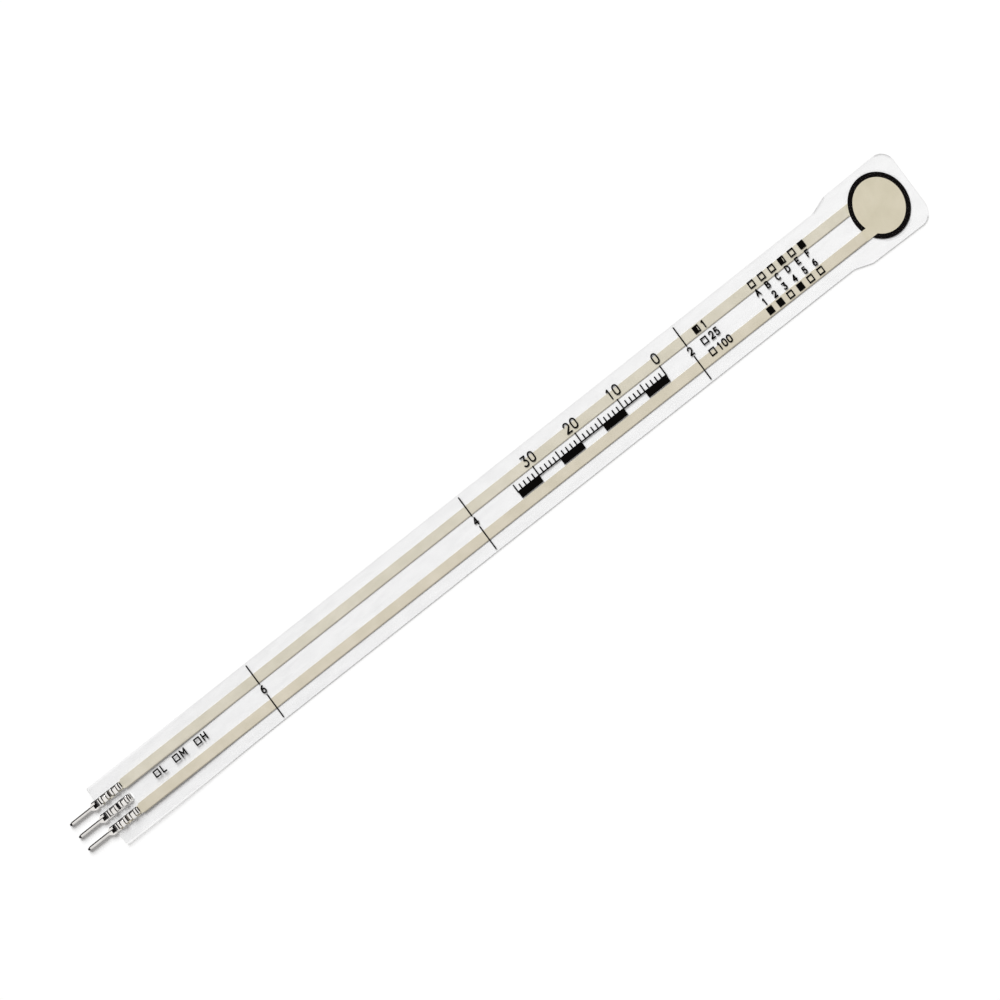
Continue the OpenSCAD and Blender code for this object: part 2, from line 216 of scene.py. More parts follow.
class TinFinish(bpy.types.PropertyGroup):
    """Tin plate of the contacts"""

    bright: colour("Bright", "Colour of clean tin", (0.85, 0.85, 0.84))
    dull: colour("Dull", "Colour of dull patches in the tin", (0.5, 0.49, 0.48))
    # Colour of the painted shade and painted dark reflections on the tin
    dark: colour("Dark", "Colour of the tin in slits and folds", (0.012, 0.011, 0.011))
    clean_share: share("Clean share", "How much of the plate is clean", 0.65)
    grain_scale: number("Grain scale", "How many grains lie in a metre", 12000)
    patch_scale: number("Patch scale", "How many patches lie in a metre", 1400)
    patch_share: share("Patch share", "How much the patches count against the grain", 0.5)
    line_scale: number("Line scale", "How many drawing lines lie in a metre", 9000)
    line_width: share("Line width", "Width of a line as a share of its length", 0.05)
    roughness: share("Roughness", "Roughness of the tin", 0.24)
    least_rough: number("Least rough", "Factor on the roughness between the lines", 0.7)
    most_rough: number("Most rough", "Factor on the roughness in the lines", 1.5)
    relief: length("Relief", "Height of the drawing lines", 0.006)
    relief_share: share("Relief share", "Strength of that relief", 0.4)
    bevel: length("Bevel", "Width of the rounding on the stamped edges", 0.025)
    bevel_angle: angle("Bevel angle", "Least angle of an edge that is rounded", 40)
    # Painted shade on the floor between the claws, in the trough and on the walls in the slits
    bar_reach: length("Bar reach", "From a contact's end to the far side of its inner bar", 0.45)
    floor_dark: share("Dark floor", "How dark the floor between the claws is", 0.9)
    floor_height: length("Floor height", "Height under which the floor and trough are dark", 0.31)
    upward: share("Upward", "Least Z of the normal on a floor", 0.7)
    slit_height: length("Slit height", "Height over which the walls in the slits are dark", 0.4)
    slit_side: length("Slit side", "Place across a contact where its slits start to be lit", 0.2)
    slit_past: length("Slit past", "Distance past the film at which no slit is left", 1)
    endways: share("Endways", "Least X of the normal on a slit's wall", 0.75)
    # Painted shade in the seam's groove, on the pin's far side and at its tip, and painted dark
    # reflections on the lip and the curl
    seam_top: length("Seam top", "Height under which the seam is dark", 0.625)
    seam_off: length("Seam offset", "Distance of the seam from the pin's middle", 0.16)
    seam_half: length("Seam half", "Half of the seam's width", 0.062)
    root: length("Root", "Distance from the film to the root of a pin", 1.45)
    lip_dark: share("Dark lip", "How dark the lip beside the seam is", 0.7)
    curl_side: length("Curl side", "Place across a contact where its curled lip is dark", -0.58)
    curl_length: length("Curl length", "Length of that dark stretch", 0.75)
    tip_dark: length("Dark tip", "Length of the tip with painted shade", 0.5)
    pin_shade: share("Pin shade", "How dark the far side of a pin is", 0.4)
    pin_half: length("Pin half", "Half of a pin's width", 0.32)
    # Painted dark reflection on walls turned to -Y
    wall_start: share("Wall start", "Turn of a wall to -Y from which it is darker", 0.35)
    wall_full: share("Wall full", "Turn of such a wall at which it is darkest", 0.9)
    wall_dark: share("Wall dark", "How dark such a wall is at most", 0.75)


class Lettering(bpy.types.PropertyGroup):
    """Printed characters"""

    stroke: length("Stroke", "Width of a character's stroke", 0.27)
    lift: length("Lift", "Air kept between a character and the film", 0.002)
    cut_height: length("Cut mark numbers", "Height of the numbers in the cut marks", 1.25)
    cut_offset: length("Cut mark offset", "Distance of those numbers from the centre line", 0.4)
    batch_height: length("Batch characters", "Height of the batch boxes' characters", 1.06)
    batch_offset: length("Batch offset", "Distance of each row from the boxes' middle", 0.97)
    range_height: length("Range numbers", "Height of the numbers by the range boxes", 1.22)
    range_space: length("Range space", "Distance from a box to its first character", 0.62)
    grade_height: length("Grade letters", "Height of the letters by the grade boxes", 1.2)
    grade_space: length("Grade space", "Distance from a box to its letter", 0.5)
    scale_height: length("Scale numbers", "Height of the numbers on the length scale", 1.7)
    scale_space: length("Scale space", "Distance from a tick to its number", 0.5)


class Studio(bpy.types.PropertyGroup):
    """Camera, floor and light"""

    azimuth: angle("Azimuth", "Compass angle of the camera", 97.435)
    elevation: angle("Elevation", "Angle of the camera above the floor", 62.269)
    roll: angle("Roll", "Turn of the camera about its own axis", 240.041)
    distance: length("Distance", "Distance from the camera to what it looks at", 4447.6)
    aim_x: length("Aim along", "Place on the strip at the middle of the picture", 88.72)
    aim_y: length("Aim across", "Distance of that place from the centre line", -0.67)
    lens: FloatProperty(name="Lens", description="Focal length", unit="CAMERA", default=968.78)
    film_width: number("Film width", "Width of the camera's film in millimetres", 36)
    near_share: number("Near limit", "Nearest seen place as a share of the distance", 0.5)
    far_share: number("Far limit", "Furthest seen place as a share of the distance", 4)
    floor_half: length("Floor", "Half the side of the floor", 3000)
    floor_gap: length("Floor gap", "Air between the floor and the strip", 0.005)
    floor_white: share("Floor white", "Reflectance of the floor", 0.94)
    floor_rough: share("Floor roughness", "Roughness of the floor", 0.9)
    floor_glow: share("Glow", "Light added where the camera sees the floor", 0.08)
    key_side: angle("Key side", "Compass angle of the key light", 22.9)
    key_height: angle("Key height", "Angle of the key light above the floor", 38)
    key_size: angle("Key size", "Size of the key light as the floor sees it", 40)
    key_strength: number("Key", "Strength of the key light", 3.88)
    key_tint: colour("Key tint", "Colour of the key light", (0.987, 0.994, 1.0))
    fill: number("Fill", "Strength of the light from all round", 0.25)
    fill_tint: colour("Fill tint", "Colour of the light from all round", (1.0, 0.97, 0.945))


# Shader building


def rgba(values):
    return (*values, 1.0)


def add_node(tree, kind, inputs=None, **settings):
    """A node of a kind, with settings on the node and values or links for its inputs."""
    node = tree.nodes.new(kind)
    for key, value in settings.items():
        setattr(node, key, value)
    for key, value in (inputs or {}).items():
        if isinstance(value, bpy.types.NodeSocket):
            tree.links.new(value, node.inputs[key])
        else:
            node.inputs[key].default_value = value
    return node


def maths(tree, operation, *values):
    """The result of a Math node on one to three numbers."""
    return add_node(
        tree, "ShaderNodeMath", dict(enumerate(values)), operation=operation
    ).outputs[0]


def over(tree, value, limit):
    return maths(tree, "GREATER_THAN", value, limit)


def under(tree, value, limit):
    return maths(tree, "LESS_THAN", value, limit)


def times(tree, first, second):
    return maths(tree, "MULTIPLY", first, second)


def size_of(tree, value):
    return maths(tree, "ABSOLUTE", value)


def from_place(tree, value, place):
    """How far a number is from a place, on either side."""
    return size_of(tree, maths(tree, "SUBTRACT", value, place))


def all_of(tree, *masks):
    """1 where every mask is 1."""
    result = masks[0]
    for mask in masks[1:]:
        result = maths(tree, "MINIMUM", result, mask)
    return result


def any_of(tree, *masks):
    """1 where at least one mask is 1."""
    result = masks[0]
    for mask in masks[1:]:
        result = maths(tree, "MAXIMUM", result, mask)
    return result


def ramp(tree, value, start, end, low=0.0, high=1.0):
    """A number that runs from low to high while the value runs from start to end."""
    inputs = {"Value": value, "From Min": start, "From Max": end, "To Min": low, "To Max": high}
    return add_node(tree, "ShaderNodeMapRange", inputs).outputs["Result"]


def mixed(tree, factor, first, second, blend="MIX"):
    """A mix of two colours, which the Mix node has at inputs 6 and 7 and output 2."""
    inputs = {0: factor, 6: first, 7: second}
    return add_node(
        tree, "ShaderNodeMix", inputs, data_type="RGBA", blend_type=blend
    ).outputs[2]


def number_mix(tree, factor, first, second):
    """A mix of two numbers."""
    inputs = {"Factor": factor, "A": first, "B": second}
    return add_node(tree, "ShaderNodeMix", inputs, data_type="FLOAT").outputs["Result"]


def noise(tree, place, scale, detail, roughness):
    inputs = {"Vector": place, "Scale": scale, "Detail": detail, "Roughness": roughness}
    return add_node(tree, "ShaderNodeTexNoise", inputs).outputs["Fac"]


def parts_of(tree, vector):
    return add_node(tree, "ShaderNodeSeparateXYZ", {"Vector": vector}).outputs


def cad_place(tree):
    """The shaded place in the CAD's axes, which are the object's own."""
    return add_node(tree, "ShaderNodeTexCoord").outputs["Object"]


def facing_of(tree, kind):
    """X, Y and Z of the surface's True Normal, or of its Normal with the shading."""
    return parts_of(tree, add_node(tree, "ShaderNodeNewGeometry").outputs[kind])


# Effects that more than one material uses


def new_group(name, inputs, outputs):
    """A shader node group with its sockets, as (group, its inputs' sockets, its output node)."""
    group = bpy.data.node_groups.new(name, "ShaderNodeTree")
    for socket, default in inputs.items():
        kind = COLOUR if isinstance(default, tuple) else NUMBER
        made = group.interface.new_socket(socket, in_out="INPUT", socket_type=kind)
        made.default_value = default
    for socket, kind in outputs.items():
        group.interface.new_socket(socket, in_out="OUTPUT", socket_type=kind)
    given = group.nodes.new("NodeGroupInput").outputs
    return group, given, group.nodes.new("NodeGroupOutput")


def put_out(group, made, values):
    """Links the results of a group to its output sockets."""
    for socket, value in values.items():
        group.links.new(value, made.inputs[socket])
    return group


def printed_grain(name):
    """Grain and faint patches: a colour between two, and a height."""
    group, given, made = new_group(
        name,
        {
            "Light": (0.8, 0.8, 0.8, 1),
            "Dark": (0.2, 0.2, 0.2, 1),
            "Grain scale": 8000.0,
            "Patch scale": 200.0,
            "Patch share": 0.6,
        },
        {"Color": COLOUR, "Height": NUMBER},
    )
    place = cad_place(group)
    fine = noise(group, place, given["Grain scale"], *FINE_NOISE)
    broad = noise(group, place, given["Patch scale"], *BROAD_NOISE)
    patch = times(group, broad, given["Patch share"])
    grain_share = maths(group, "SUBTRACT", 1.0, given["Patch share"])
    both = maths(group, "ADD", patch, times(group, fine, grain_share))
    spread = ramp(group, both, *GRAIN_RANGE)
    tone = mixed(group, spread, given["Dark"], given["Light"])
    return put_out(group, made, {"Color": tone, "Height": fine})


def fine_lines(name):
    """Fine lines along X, as drawn metal and handled film show: a mask and a height."""
    group, given, made = new_group(
        name, {"Scale": 3000.0, "Stretch": 0.04}, {"Mask": NUMBER, "Height": NUMBER}
    )
    at = parts_of(group, cad_place(group))
    drawn = {"X": times(group, at["X"], given["Stretch"]), "Y": at["Y"], "Z": at["Z"]}
    place = add_node(group, "ShaderNodeCombineXYZ", drawn).outputs[0]
    lines = noise(group, place, given["Scale"], *LINE_NOISE)
    return put_out(group, made, {"Mask": ramp(group, lines, *LINE_RANGE), "Height": lines})


def cut_edge(name):
    """Masks of the upright faces, which are a sheet's cut edges, and of two kinds of them."""
    group, given, made = new_group(
        name,
        {"Slope": 0.7, "Far place": 0.005, "Far turn": 0.8, "Straight": 0.985, "Slanting": 0.3},
        {"Mask": NUMBER, "Far side": NUMBER, "Slant": NUMBER},
    )
    facing = facing_of(group, "True Normal")
    across = parts_of(group, cad_place(group))["Y"]
    turn = size_of(group, facing["Y"])
    upright = under(group, size_of(group, facing["Z"]), given["Slope"])
    far = all_of(
        group, over(group, across, given["Far place"]), over(group, turn, given["Far turn"])
    )
    slant = all_of(
        group,
        under(group, across, 0.0),
        under(group, turn, given["Straight"]),
        over(group, turn, given["Slanting"]),
    )
    return put_out(group, made, {"Mask": upright, "Far side": far, "Slant": slant})


def crimp_shade(name):
    """The place across the nearest contact, and how much shade there is round its claws."""
    sizes = bpy.context.scene.sensor_crimp
    inner_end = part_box("contact_centre")[0].x
    group, given, made = new_group(
        name,
        {
            "Pitch": sizes.pitch,
            "Middle": inner_end + sizes.middle,
            "Set offset": sizes.set_off,
            "Set half": sizes.set_half,
            "Slit end": sizes.slit_end,
            "Side": sizes.side,
            "Lit place": inner_end + sizes.lit_place,
            "Lit half": sizes.lit_half,
            "Lit share": sizes.lit_share,
        },
        {"Across": NUMBER, "Shade": NUMBER},
    )
    at = parts_of(group, cad_place(group))
    half_pitch = times(group, given["Pitch"], 0.5)
    across = maths(group, "WRAP", at["Y"], times(group, given["Pitch"], -0.5), half_pitch)
    from_middle = from_place(group, at["X"], given["Middle"])
    from_set = from_place(group, from_middle, given["Set offset"])
    in_set = under(group, from_set, given["Set half"])
    side = number_mix(group, in_set, given["Side"], given["Slit end"])
    on_lit = under(group, from_place(group, at["X"], given["Lit place"]), given["Lit half"])
    lit = times(group, on_lit, given["Lit share"])
    shade = maths(group, "SUBTRACT", under(group, across, side), lit)
    shade = maths(group, "MAXIMUM", shade, 0.0)
    return put_out(group, made, {"Across": across, "Shade": shade})


EFFECTS = {
    "Printed grain": printed_grain,
    "Fine lines": fine_lines,
    "Cut edge": cut_edge,
    "Crimp shade": crimp_shade,
}


def placed(tree, name, inputs=None):
    """The outputs of an effect, which is built once and placed in a material with its values."""
    group = bpy.data.node_groups.get(name) or EFFECTS[name](name)
    node = tree.nodes.new("ShaderNodeGroup")
    node.node_tree = group
    for key, value in (inputs or {}).items():
        node.inputs[key].default_value = value
    return node.outputs


# Materials


def new_material(name):
    material = bpy.data.materials.new(name)
    material.use_nodes = True
    tree = material.node_tree
    tree.nodes.clear()
    shader = tree.nodes.new("ShaderNodeBsdfPrincipled")
    out = tree.nodes.new("ShaderNodeOutputMaterial")
    tree.links.new(shader.outputs["BSDF"], out.inputs["Surface"])
    return material, tree, shader


def bumped(tree, shader, height, distance, strength=1.0):
    inputs = {"Height": height, "Distance": distance, "Strength": strength}
    bump = add_node(tree, "ShaderNodeBump", inputs)
    tree.links.new(bump.outputs["Normal"], shader.inputs["Normal"])


def clear_material(name, finish, haze):
    """Clear film: mostly see-through, with a faint haze, slight waves and darker cut edges, whose
    dark colour is painted shade, darkest on the shadow side.
    """
    material, tree, shader = new_material(name)
    lo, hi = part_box("top_film")
    edge = placed(tree, "Cut edge")
    dust = placed(tree, "Fine lines", {"Scale": finish.dust_scale, "Stretch": finish.dust_width})
    place = cad_place(tree)
    along = parts_of(tree, place)["X"]
    rise = ramp(tree, along, lo.x, hi.x, haze, haze * finish.haze_rise)
    dusty = ramp(tree, dust["Mask"], 0.0, 1.0, finish.least_dust, finish.most_dust)
    near_haze = number_mix(tree, edge["Slant"], finish.edge_haze, finish.slant_haze)
    # Painted shade on the cut edges of the shadow side, rising to full opacity where the film rises
    # to the pins
    far_painted_shade = ramp(
        tree, along, hi.x - finish.pin_rise, hi.x, finish.far_edge_haze, finish.pin_edge_haze
    )
    edge_haze = number_mix(tree, edge["Far side"], near_haze, far_painted_shade)
    alpha = number_mix(tree, edge["Mask"], times(tree, rise, dusty), edge_haze)
    tone = mixed(tree, edge["Mask"], rgba(finish.tint), rgba(finish.edge_tint))
    tree.links.new(tone, shader.inputs["Base Color"])
    tree.links.new(alpha, shader.inputs["Alpha"])
    shader.inputs["Roughness"].default_value = finish.roughness
    shader.inputs["IOR"].default_value = finish.refraction
    bumped(tree, shader, noise(tree, place, 1 / finish.wave, *WAVE_NOISE), finish.wave_height)
    return material


def lead_edge(node):
    """The place of a lead's edge on the shadow side, halfway along the strip."""
    lo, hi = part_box("top_film")
    middle = (lo.x + hi.x) / 2
    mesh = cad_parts[node].data
    crossing = []
    for edge in mesh.edges:
        first, second = (mesh.vertices[v].co for v in edge.vertices)
        if min(first.x, second.x) < middle < max(first.x, second.x):
            crossing += [first.y, second.y]
    return max(crossing)


def silver_material(name, tone, finish):
    """Beige silver ink: matt and grainy, with faint patches, a painted shadow line along its far
    edge and painted claw shade on the silver by the contacts.
    """
    material, tree, shader = new_material(name)
    grain = placed(
        tree,
        "Printed grain",
        {
            "Light": rgba(c * t for c, t in zip(finish.light, tone)),
            "Dark": rgba(c * t for c, t in zip(finish.dark, tone)),
            "Grain scale": 1 / finish.grain,
            "Patch scale": 1 / finish.patch,
            "Patch share": finish.patch_share,
        },
    )
    at = parts_of(tree, cad_place(tree))
    past_disk = over(tree, at["X"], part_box("upper_ink_dot")[1].x)
    on_disk = maths(tree, "SUBTRACT", 1.0, past_disk)
    toned = mixed(tree, on_disk, grain["Color"], rgba(finish.disk_tone), "MULTIPLY")
    # Painted shadow along the lead's far edge, on the side away from the key light
    edge_y = lead_edge(name)
    line = all_of(
        tree,
        over(tree, at["Y"], edge_y - finish.edge_line),
        under(tree, at["Y"], edge_y + finish.edge_line),
        past_disk,
    )
    with_shadow_line = mixed(tree, times(tree, line, finish.edge_share), toned, rgba(finish.edge_line_tint))
    # Painted shade: the silver round the claws is tinted dark where the claws shade it
    pad_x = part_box("contact_left")[0].x + finish.pad_reach
    pad = all_of(tree, over(tree, at["X"], pad_x), placed(tree, "Crimp shade")["Shade"])
    seen = mixed(tree, pad, with_shadow_line, rgba(finish.pad_tint))
    tree.links.new(seen, shader.inputs["Base Color"])
    shader.inputs["Roughness"].default_value = finish.roughness
    shader.inputs["Specular IOR Level"].default_value = finish.gloss
    bumped(tree, shader, grain["Height"], finish.relief, finish.relief_share)
    return material


def black_material(name, black, pale, finish):
    """Black ink: matt, with carbon flecks and a slightly grainy face."""
    material, tree, shader = new_material(name)
    grain = placed(
        tree,
        "Printed grain",
        {
            "Light": rgba(pale),
            "Dark": rgba(black),
            "Grain scale": 1 / finish.grain,
            "Patch scale": finish.patch_scale / finish.grain,
            "Patch share": finish.patch_share,
        },
    )
    tree.links.new(grain["Color"], shader.inputs["Base Color"])
    shader.inputs["Roughness"].default_value = finish.roughness
    shader.inputs["Specular IOR Level"].default_value = finish.gloss
    bumped(tree, shader, grain["Height"], finish.relief, finish.relief_share)
    return material


def crimp_masks(tree, finish, at, facing, crimp):
    """Painted shade on the floor between the claws and on the walls in their slits."""
    inner_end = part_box("contact_centre")[0].x
    film_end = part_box("top_film")[1].x
    # Painted shade on the floor between the claws and in the trough, darker under the film
    floor = all_of(
        tree,
        over(tree, at["X"], inner_end + finish.bar_reach),
        over(tree, facing["Z"], finish.upward),
        under(tree, at["Z"], finish.floor_height),
        crimp["Shade"],
    )
    floor_dark = number_mix(tree, under(tree, at["X"], film_end), 1.0, finish.floor_dark)
    side = bpy.context.scene.sensor_crimp.side
    # Painted shade on the walls in the slits, fading out across the contact
    slits = all_of(
        tree,
        over(tree, size_of(tree, facing["X"]), finish.endways),
        over(tree, at["Z"], finish.slit_height),
        under(tree, at["X"], film_end + finish.slit_past),
        ramp(tree, crimp["Across"], finish.slit_side, side, 1.0, 0.0),
        crimp["Shade"],
    )
    return times(tree, floor, floor_dark), slits


def neck_masks(tree, finish, at, across):
    """Painted shade in the seam, on the pin's far side and at its tip, and painted dark reflections
    on the lip beside the seam and on the curled lip.
    """
    film_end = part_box("top_film")[1].x
    pin_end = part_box("contact_centre")[1].x
    past_film = over(tree, at["X"], film_end)
    on_pin = over(tree, at["X"], film_end + finish.root)
    # Painted shade in the seam's groove
    seam = all_of(
        tree,
        under(tree, from_place(tree, across, -finish.seam_off), finish.seam_half),
        under(tree, at["Z"], finish.seam_top),
        past_film,
    )
    # Painted dark reflections on the lip beside the seam and on the curled lip, both turned to -Y
    lip = all_of(tree, under(tree, across, finish.seam_half - finish.seam_off), on_pin)
    curl = all_of(
        tree,
        under(tree, across, finish.curl_side),
        past_film,
        under(tree, at["X"], film_end + finish.curl_length),
    )
    # Painted shade on the pin's far side and at its tip
    far_side_shade = ramp(tree, across, 0.0, finish.pin_half, 0.0, finish.pin_shade)
    tip = over(tree, at["X"], pin_end - finish.tip_dark)
    return seam, times(tree, lip, finish.lip_dark), curl, times(tree, far_side_shade, on_pin), tip


def tin_material(finish):
    """Tin plate: bright, with fine drawing lines and dull patches, and with painted shade and
    painted dark reflections in its slits, seam, tip and walls.
    """
    material, tree, shader = new_material("Tin plate")
    lines = placed(tree, "Fine lines", {"Scale": finish.line_scale, "Stretch": finish.line_width})
    grain = placed(
        tree,
        "Printed grain",
        {
            "Light": rgba(finish.bright),
            "Dark": rgba(finish.dull),
            "Grain scale": finish.grain_scale,
            "Patch scale": finish.patch_scale,
            "Patch share": finish.patch_share,
        },
    )
    crimp = placed(tree, "Crimp shade")
    at = parts_of(tree, cad_place(tree))
    facing = facing_of(tree, "Normal")
    # Painted dark reflection: walls turned to -Y are darkened by their normal
    walls = ramp(
        tree, facing["Y"], -finish.wall_start, -finish.wall_full, 0.0, finish.wall_dark
    )
    # All painted shade and painted dark reflections, mixed to the dark colour
    dark = any_of(
        tree,
        *crimp_masks(tree, finish, at, facing, crimp),
        *neck_masks(tree, finish, at, crimp["Across"]),
        walls,
    )
    clean = mixed(tree, finish.clean_share, grain["Color"], rgba(finish.bright))
    tone = mixed(tree, dark, clean, rgba(finish.dark))
    least, most = (finish.roughness * f for f in (finish.least_rough, finish.most_rough))
    rough = ramp(tree, lines["Mask"], 0.0, 1.0, least, most)
    tree.links.new(tone, shader.inputs["Base Color"])
    tree.links.new(rough, shader.inputs["Roughness"])
    shader.inputs["Metallic"].default_value = 1.0
    bumped(tree, shader, lines["Height"], finish.relief, finish.relief_share)
    return material


def dress(piece, material):
    """Gives a piece one material in every slot."""
    if not piece.material_slots:
        piece.data.materials.append(material)
    for held in piece.material_slots:
        held.link = "OBJECT"
        held.material = material


def weld(node):
    """Joins the corners that the CAD mesh holds apart, without a change to the mesh itself."""
    node.modifiers.new("Weld", "WELD").merge_threshold = WELD


# Printed characters


def bow(x, y, rx, ry, start, end, steps=9):
    """Points along an arc, from one angle to another in degrees."""
    turns = [math.radians(start + (end - start) * i / steps) for i in range(steps + 1)]
    return [(x + rx * math.cos(t), y + ry * math.sin(t)) for t in turns]


# Each character's width and its strokes, on a body of height 1
CHARACTERS = {
    "0": (
        0.58,
        [bow(0.29, 0.7, 0.29, 0.3, 0, 180) + bow(0.29, 0.3, 0.29, 0.3, 180, 360) + [(0.58, 0.7)]],
    ),
    "1": (0.58, [[(0.16, 0.84), (0.34, 1), (0.34, 0)]]),
    "2": (0.6, [bow(0.3, 0.7, 0.29, 0.3, 165, -35) + [(0, 0), (0.6, 0)]]),
    "3": (0.58, [[(0.04, 1), (0.54, 1), (0.27, 0.62)] + bow(0.27, 0.31, 0.31, 0.31, 85, -145)]),
    "4": (0.62, [[(0.45, 0), (0.45, 1), (0, 0.3), (0.62, 0.3)]]),
    "5": (0.58, [[(0.52, 1), (0.1, 1), (0.05, 0.54)] + bow(0.28, 0.32, 0.3, 0.32, 120, -145)]),
    "6": (
        0.58,
        [bow(0.6, 0.34, 0.6, 0.66, 105, 175, 5) + bow(0.29, 0.3, 0.29, 0.3, 180, 540, 14)],
    ),
    "A": (0.68, [[(0, 0), (0.34, 1), (0.68, 0)], [(0.12, 0.34), (0.56, 0.34)]]),
    "B": (
        0.6,
        [
            [(0, 0), (0, 1)] + bow(0.3, 0.77, 0.24, 0.23, 90, -90) + [(0, 0.54)],
            [(0.3, 0.54)] + bow(0.32, 0.27, 0.28, 0.27, 90, -90) + [(0, 0)],
        ],
    ),
    "C": (0.62, [bow(0.36, 0.5, 0.36, 0.5, 48, 312, 12)]),
    "D": (0.64, [[(0, 0), (0, 1)] + bow(0.18, 0.5, 0.46, 0.5, 90, -90) + [(0, 0)]]),
    "E": (0.54, [[(0.54, 1), (0, 1), (0, 0), (0.54, 0)], [(0, 0.52), (0.44, 0.52)]]),
    "F": (0.54, [[(0.54, 1), (0, 1), (0, 0)], [(0, 0.52), (0.42, 0.52)]]),
    "H": (0.64, [[(0, 0), (0, 1)], [(0.64, 0), (0.64, 1)], [(0, 0.52), (0.64, 0.52)]]),
    "L": (0.52, [[(0, 1), (0, 0), (0.52, 0)]]),
    "M": (0.8, [[(0, 0), (0, 1), (0.4, 0.35), (0.8, 1), (0.8, 0)]]),
}
CHARACTER_SPACE = 0.34
DISC_SIDES = 12
# Distances in millimetres under which a stroke has no length and two points are one
NO_LENGTH = 1e-6
SAME_POINT = 1e-5


def stroke_polygons(points, width):
    """The rectangles along a stroke and the discs that round its ends and bends."""
    half = width / 2
    found = []
    for start, end in zip(points, points[1:]):
        start, end = Vector(start), Vector(end)
        along = end - start
        if along.length < NO_LENGTH:
            continue
        side = Vector((-along.y, along.x)).normalized() * half
        found.append([tuple(c) for c in (start + side, start - side, end - side, end + side)])
    last_turn = 360 * (1 - 1 / DISC_SIDES)
    found += [bow(x, y, half, half, 0, last_turn, DISC_SIDES - 1) for x, y in points]
    return found


def flat_union(polygons):
    """Triangles that cover overlapping polygons once, as (points, triangles)."""
    points, faces = [], []
    for polygon in polygons:
        faces.append(list(range(len(points), len(points) + len(polygon))))
        points += [Vector(p) for p in polygon]
    made = delaunay_2d_cdt(points, [], faces, 1, SAME_POINT)
    return made[0], [face for face, origin in zip(made[2], made[5]) if origin]


def word_width(text, height):
    widths = [CHARACTERS[c][0] for c in text]
    return (sum(widths) + CHARACTER_SPACE * (len(text) - 1)) * height


def film_top():
    """A function that gives the height of the top film's face at a place."""
    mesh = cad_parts["top_film"].data
    tree = BVHTree.FromPolygons(
        [v.co for v in mesh.vertices], [p.vertices for p in mesh.polygons]
    )
    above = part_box("top_film")[1].z + MM

    def height_at(x, y):
        hit = tree.ray_cast(Vector((x, y, above)), Vector((0, 0, -1)))
        if hit[0] is None:
            raise RuntimeError(f"there is no film under the print at {x:.5f}, {y:.5f}")
        return hit[0].z

    return height_at


def add_word(built, text, height, x, y, stroke, thickness):
    """Adds a word's raised characters, with its middle at a place, read from pins to head."""
    cursor = -word_width(text, height) / 2
    for character in text:
        width, strokes = CHARACTERS[character]
        polygons = []
        for points in strokes:
            scaled = [
                ((cursor + px * height) / MM, (py - 0.5) * height / MM) for px, py in points
            ]
            polygons += stroke_polygons(scaled, stroke / MM)
        points, faces = flat_union(polygons)
        made = [built.verts.new((x - p.x * MM, y - p.y * MM, 0)) for p in points]
        flat = [built.faces.new([made[i] for i in face]) for face in faces]
        raised = bmesh.ops.extrude_face_region(built, geom=flat)["geom"]
        tops = [v for v in raised if isinstance(v, bmesh.types.BMVert)]
        bmesh.ops.translate(built, verts=tops, vec=(0, 0, thickness))
        cursor += (width + CHARACTER_SPACE) * height


def print_words(name, words):
    """One piece of raised print on the film. A word is (text, height, x, y)."""
    scene = bpy.context.scene
    sizes, finish = scene.sensor_lettering, scene.sensor_ink
    mark_lo, mark_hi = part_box("cut_mark_2")
    built = bmesh.new()
    for word in words:
        add_word(built, *word, sizes.stroke, mark_hi.z - mark_lo.z)
    loose = [v for v in built.verts if not v.link_faces]
    bmesh.ops.delete(built, geom=loose, context="VERTS")
    bmesh.ops.recalc_face_normals(built, faces=built.faces)
    height_at = film_top()
    for vertex in built.verts:
        vertex.co.z += height_at(vertex.co.x, vertex.co.y) + sizes.lift
    mesh = bpy.data.meshes.new(name)
    built.to_mesh(mesh)
    built.free()
    piece = bpy.data.objects.new(name, mesh)
    scene.collection.objects.link(piece)
    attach(piece, "root")
    dress(piece, black_material(name, finish.print_black, finish.print_thin, finish))


def box_centres(node):
    """The centre (x, y) and side of each box in a node, from head to pins and across."""
    found = bmesh.new()
    found.from_mesh(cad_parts[node].data)
    bmesh.ops.remove_doubles(found, verts=found.verts, dist=WELD)
    left = set(found.verts)
    centres = []
    while left:
        island, queue = set(), [next(iter(left))]
        while queue:
            vertex = queue.pop()
            if vertex not in island:
                island.add(vertex)
                queue += [e.other_vert(vertex) for e in vertex.link_edges]
        left -= island
        xs = [v.co.x for v in island]
        ys = [v.co.y for v in island]
        centres.append(((min(xs) + max(xs)) / 2, (min(ys) + max(ys)) / 2, max(xs) - min(xs)))
    found.free()
    return sorted(centres, key=lambda c: (round(c[0], 6), c[1]))


def words_beside(node, texts, height, space):
    """A word on the head side of each box in a node."""
    words = []
    for text, (x, y, side) in zip(texts, box_centres(node)):
        reach = side / 2 + space + word_width(text, height) / 2
        words.append((text, height, x - reach, y))
    return words


# Operators


class SENSOR_OT_films(bpy.types.Operator):
    """Give the clear films and the adhesive their finish"""

    bl_idname = "sensor.films"
    bl_label = "Clear films"

    def execute(self, context):
        finish = context.scene.sensor_film
        film = clear_material("Clear film", finish, finish.haze)
        glue = clear_material("Clear adhesive", finish, finish.glue_haze)
        for name in (*FILMS, "adhesive_layer"):
            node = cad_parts[name]
            weld(node)
            shrink = node.modifiers.new("Clearance", "DISPLACE")
            shrink.strength = -finish.clearance
            shrink.mid_level = 0
            dress(node, film if name in FILMS else glue)
        return {"FINISHED"}


